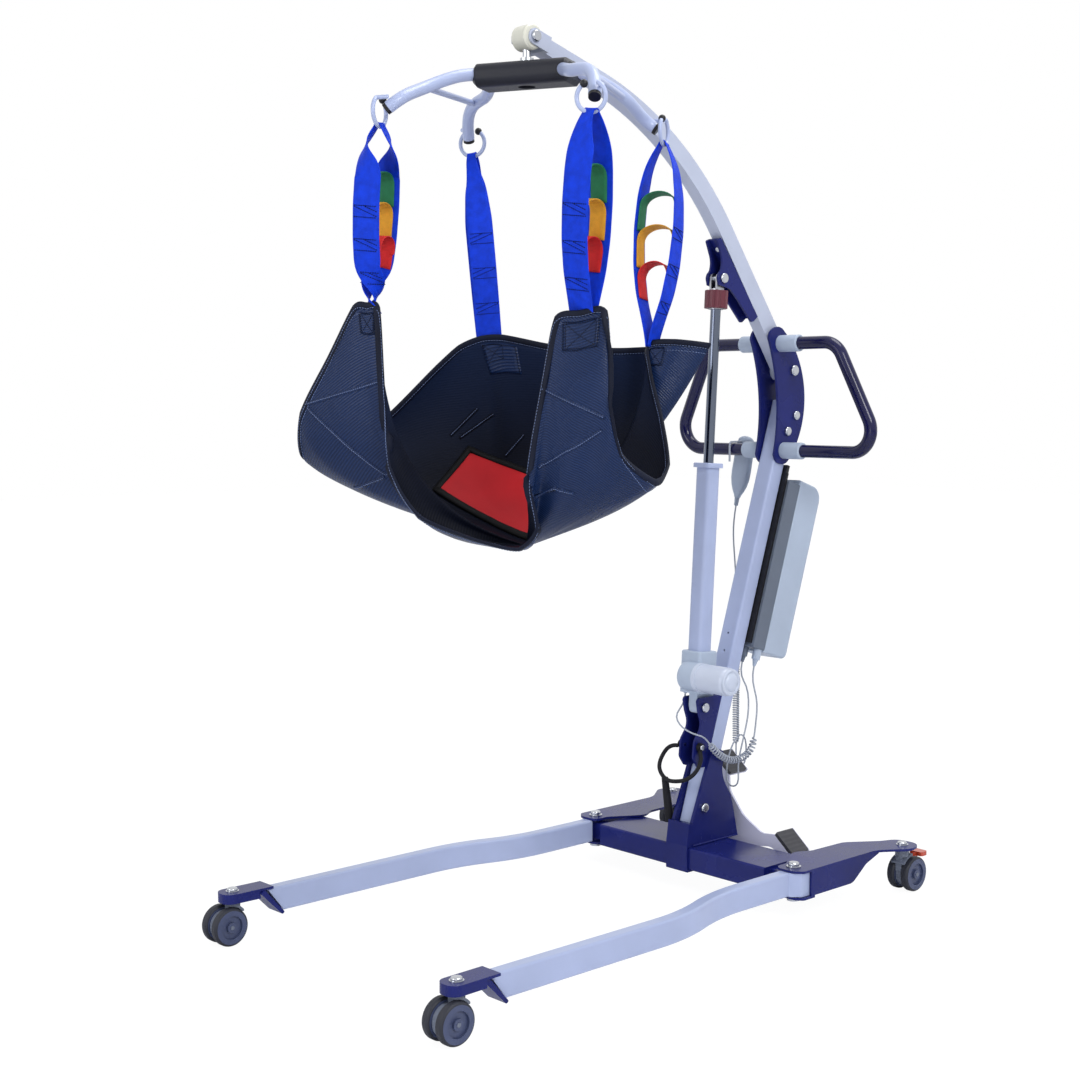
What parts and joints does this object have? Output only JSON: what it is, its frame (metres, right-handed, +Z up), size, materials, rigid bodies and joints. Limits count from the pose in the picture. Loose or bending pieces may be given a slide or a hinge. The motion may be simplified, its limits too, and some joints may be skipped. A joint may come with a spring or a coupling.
{
  "type": "patient lift hoist",
  "caption": "Mobile patient lift: wheeled splaying base, leaning mast, powered curved arm, swivelling hanger with hooks and a webbing-hung fabric sling.",
  "frame": {"origin": "on the floor, midway between the two leg pivot bolts", "axes": "+Z up, -Y towards the front casters, +X towards the leg on the user's left when facing forward"},
  "size_m": [0.7404, 1.3851, 1.766],
  "materials": {
    "cross_beam": "satin",
    "leg_pivot_bolts": "polished",
    "mast_socket": "satin",
    "mast_tube": "satin",
    "frame_bolts": "polished",
    "head_plates": "satin",
    "push_handles": "satin",
    "handle_collars": "matte",
    "actuator_mount": "satin",
    "control_rail": "satin",
    "control_box": "matte",
    "battery_pack": "matte",
    "motor_plug": "matte",
    "handset_plug": "matte",
    "handset_body": "matte",
    "motor_cord": "matte",
    "motor_cord_curl": "matte",
    "handset_cord": "matte",
    "handset_cord_curl": "matte",
    "stop_button": "satin",
    "handset_up_button": "matte",
    "handset_down_button": "matte",
    "leg_tube_left": "satin",
    "leg_bracket_left": "satin",
    "caster_bolts_left": "polished",
    "caster_front_left": "matte",
    "wheels_front_left": "matte",
    "caster_rear_left": "matte",
    "wheels_rear_left": "matte",
    "brake_pedal_left": "satin",
    "leg_tube_right": "satin",
    "leg_bracket_right": "satin",
    "caster_bolts_right": "polished",
    "caster_front_right": "matte",
    "wheels_front_right": "matte",
    "caster_rear_right": "matte",
    "wheels_rear_right": "matte",
    "brake_pedal_right": "satin",
    "rocker_plate": "satin",
    "rocker_pads": "matte",
    "lock_bail": "matte",
    "boom_tube": "satin",
    "rod_bracket": "satin",
    "boom_bolts": "polished",
    "actuator_rod": "polished",
    "rod_fork": "matte",
    "release_collar": "satin",
    "actuator_tube": "satin",
    "gear_housing": "satin",
    "motor": "satin",
    "swivel_block": "matte",
    "swivel_stem": "polished",
    "spreader_frame": "satin",
    "spreader_cover": "matte",
    "end_plugs": "matte",
    "hooks": "satin",
    "sling_straps": "matte",
    "sling_loops": "matte",
    "sling": "matte"
  },
  "bodies": {
    "base": {"cross_beam": "cross_beam", "leg_pivot_bolts": "leg_pivot_bolts", "mast_socket": "mast_socket", "mast_tube": "mast_tube", "frame_bolts": "frame_bolts", "head_plates": "head_plates", "push_handles": "push_handles", "handle_collars": "handle_collars", "actuator_mount": "actuator_mount", "control_rail": "control_rail", "control_box": "control_box", "battery_pack": "battery_pack", "motor_plug": "motor_plug", "handset_plug": "handset_plug", "handset_body": "handset_body", "motor_cord": "motor_cord", "motor_cord_curl": "motor_cord_curl", "handset_cord": "handset_cord", "handset_cord_curl": "handset_cord_curl"},
    "stop_button": {"stop_button": "stop_button"},
    "up_button": {"handset_up_button": "handset_up_button"},
    "down_button": {"handset_down_button": "handset_down_button"},
    "leg_left": {"leg_tube_left": "leg_tube_left", "leg_bracket_left": "leg_bracket_left", "caster_bolts_left": "caster_bolts_left"},
    "caster_front_left": {"caster_front_left": "caster_front_left"},
    "wheels_front_left": {"wheels_front_left": "wheels_front_left"},
    "caster_rear_left": {"caster_rear_left": "caster_rear_left"},
    "wheels_rear_left": {"wheels_rear_left": "wheels_rear_left"},
    "brake_left": {"brake_pedal_left": "brake_pedal_left"},
    "leg_right": {"leg_tube_right": "leg_tube_right", "leg_bracket_right": "leg_bracket_right", "caster_bolts_right": "caster_bolts_right"},
    "caster_front_right": {"caster_front_right": "caster_front_right"},
    "wheels_front_right": {"wheels_front_right": "wheels_front_right"},
    "caster_rear_right": {"caster_rear_right": "caster_rear_right"},
    "wheels_rear_right": {"wheels_rear_right": "wheels_rear_right"},
    "brake_right": {"brake_pedal_right": "brake_pedal_right"},
    "rocker": {"rocker_plate": "rocker_plate", "rocker_pads": "rocker_pads"},
    "bail": {"lock_bail": "lock_bail"},
    "boom": {"boom_tube": "boom_tube", "rod_bracket": "rod_bracket", "boom_bolts": "boom_bolts"},
    "rod": {"actuator_rod": "actuator_rod", "rod_fork": "rod_fork"},
    "collar": {"release_collar": "release_collar"},
    "drive": {"actuator_tube": "actuator_tube", "gear_housing": "gear_housing", "motor": "motor"},
    "swivel": {"swivel_block": "swivel_block", "swivel_stem": "swivel_stem"},
    "hanger": {"spreader_frame": "spreader_frame", "spreader_cover": "spreader_cover", "end_plugs": "end_plugs", "hooks": "hooks", "sling_straps": "sling_straps", "sling_loops": "sling_loops", "sling": "sling"}
  },
  "joints": [
    {"name": "arm_lift", "type": "hinge", "parent": "base", "child": "boom", "pos_m": [0, 0.303, 1.12], "axis": [1, 0, 0], "range_deg": [0, 55], "deforming": ["sling", "sling_straps", "sling_loops"]},
    {"name": "rod_swing", "type": "hinge", "parent": "boom", "child": "rod", "pos_m": [0, 0.076, 1.314], "axis": [1, 0, 0], "range_deg": [-50.96, 0]},
    {"name": "rod_stroke", "type": "slide", "parent": "rod", "child": "drive", "axis": [0, 0.0585, 0.9983], "range_m": [0, 0.2703]},
    {"name": "collar_turn", "type": "hinge", "parent": "rod", "child": "collar", "pos_m": [0, 0.076, 1.314], "axis": [0, 0.0585, 0.9983], "continuous": true},
    {"name": "rocker_tilt", "type": "hinge", "parent": "base", "child": "rocker", "pos_m": [0, 0.14, 0.097], "axis": [0, -1, 0], "range_deg": [0, 80]},
    {"name": "leg_swing_left", "type": "hinge", "parent": "base", "child": "leg_left", "pos_m": [0.29, 0, 0.07], "axis": [0, 0, 1], "range_deg": [0, 15]},
    {"name": "leg_swing_right", "type": "hinge", "parent": "base", "child": "leg_right", "pos_m": [-0.29, 0, 0.07], "axis": [0, 0, 1], "range_deg": [-15, 0]},
    {"name": "caster_swivel_front_left", "type": "hinge", "parent": "leg_left", "child": "caster_front_left", "pos_m": [0.342, -0.94, 0.08], "axis": [0, 0, 1], "continuous": true},
    {"name": "wheel_roll_front_left", "type": "hinge", "parent": "caster_front_left", "child": "wheels_front_left", "pos_m": [0.342, -0.958, 0.0375], "axis": [1, 0, 0], "continuous": true},
    {"name": "caster_swivel_rear_left", "type": "hinge", "parent": "leg_left", "child": "caster_rear_left", "pos_m": [0.338, 0.308, 0.08], "axis": [0, 0, 1], "continuous": true},
    {"name": "wheel_roll_rear_left", "type": "hinge", "parent": "caster_rear_left", "child": "wheels_rear_left", "pos_m": [0.338, 0.326, 0.0375], "axis": [1, 0, 0], "continuous": true},
    {"name": "brake_press_left", "type": "hinge", "parent": "caster_rear_left", "child": "brake_left", "pos_m": [0.338, 0.341, 0.055], "axis": [-1, 0, 0], "range_deg": [0, 10]},
    {"name": "caster_swivel_front_right", "type": "hinge", "parent": "leg_right", "child": "caster_front_right", "pos_m": [-0.342, -0.94, 0.08], "axis": [0, 0, 1], "continuous": true},
    {"name": "wheel_roll_front_right", "type": "hinge", "parent": "caster_front_right", "child": "wheels_front_right", "pos_m": [-0.342, -0.958, 0.0375], "axis": [1, 0, 0], "continuous": true},
    {"name": "caster_swivel_rear_right", "type": "hinge", "parent": "leg_right", "child": "caster_rear_right", "pos_m": [-0.338, 0.308, 0.08], "axis": [0, 0, 1], "continuous": true},
    {"name": "wheel_roll_rear_right", "type": "hinge", "parent": "caster_rear_right", "child": "wheels_rear_right", "pos_m": [-0.338, 0.326, 0.0375], "axis": [1, 0, 0], "continuous": true},
    {"name": "brake_press_right", "type": "hinge", "parent": "caster_rear_right", "child": "brake_right", "pos_m": [-0.338, 0.341, 0.055], "axis": [-1, 0, 0], "range_deg": [0, 10]},
    {"name": "bail_swing", "type": "hinge", "parent": "base", "child": "bail", "pos_m": [0, 0.004, 0.308], "axis": [1, 0, 0], "range_deg": [-20, 2]},
    {"name": "hanger_plumb", "type": "hinge", "parent": "boom", "child": "swivel", "pos_m": [0, -0.474, 1.742], "axis": [1, 0, 0], "range_deg": [-55, 0]},
    {"name": "hanger_turn", "type": "hinge", "parent": "swivel", "child": "hanger", "pos_m": [0, -0.474, 1.7], "axis": [0, 0, 1], "continuous": true},
    {"name": "stop_press", "type": "slide", "parent": "base", "child": "stop_button", "axis": [1, 0, 0], "range_m": [0, 0.004], "stiffness_N_per_m": 1500, "springref_m": -0.002},
    {"name": "up_press", "type": "slide", "parent": "base", "child": "up_button", "axis": [0, -1, 0], "range_m": [0, 0.0015], "stiffness_N_per_m": 1200, "springref_m": -0.001},
    {"name": "down_press", "type": "slide", "parent": "base", "child": "down_button", "axis": [0, -1, 0], "range_m": [0, 0.0015], "stiffness_N_per_m": 1200, "springref_m": -0.001}
  ],
  "couplings": [
    {"joint": "rod_swing", "follows": "arm_lift", "ratio": -0.92611},
    {"joint": "rod_stroke", "follows": "arm_lift", "m_per_rad": 0.28148},
    {"joint": "hanger_plumb", "follows": "arm_lift", "ratio": -1},
    {"joint": "leg_swing_left", "follows": "rocker_tilt", "ratio": 0.1875},
    {"joint": "leg_swing_right", "follows": "rocker_tilt", "ratio": -0.1875}
  ]
}
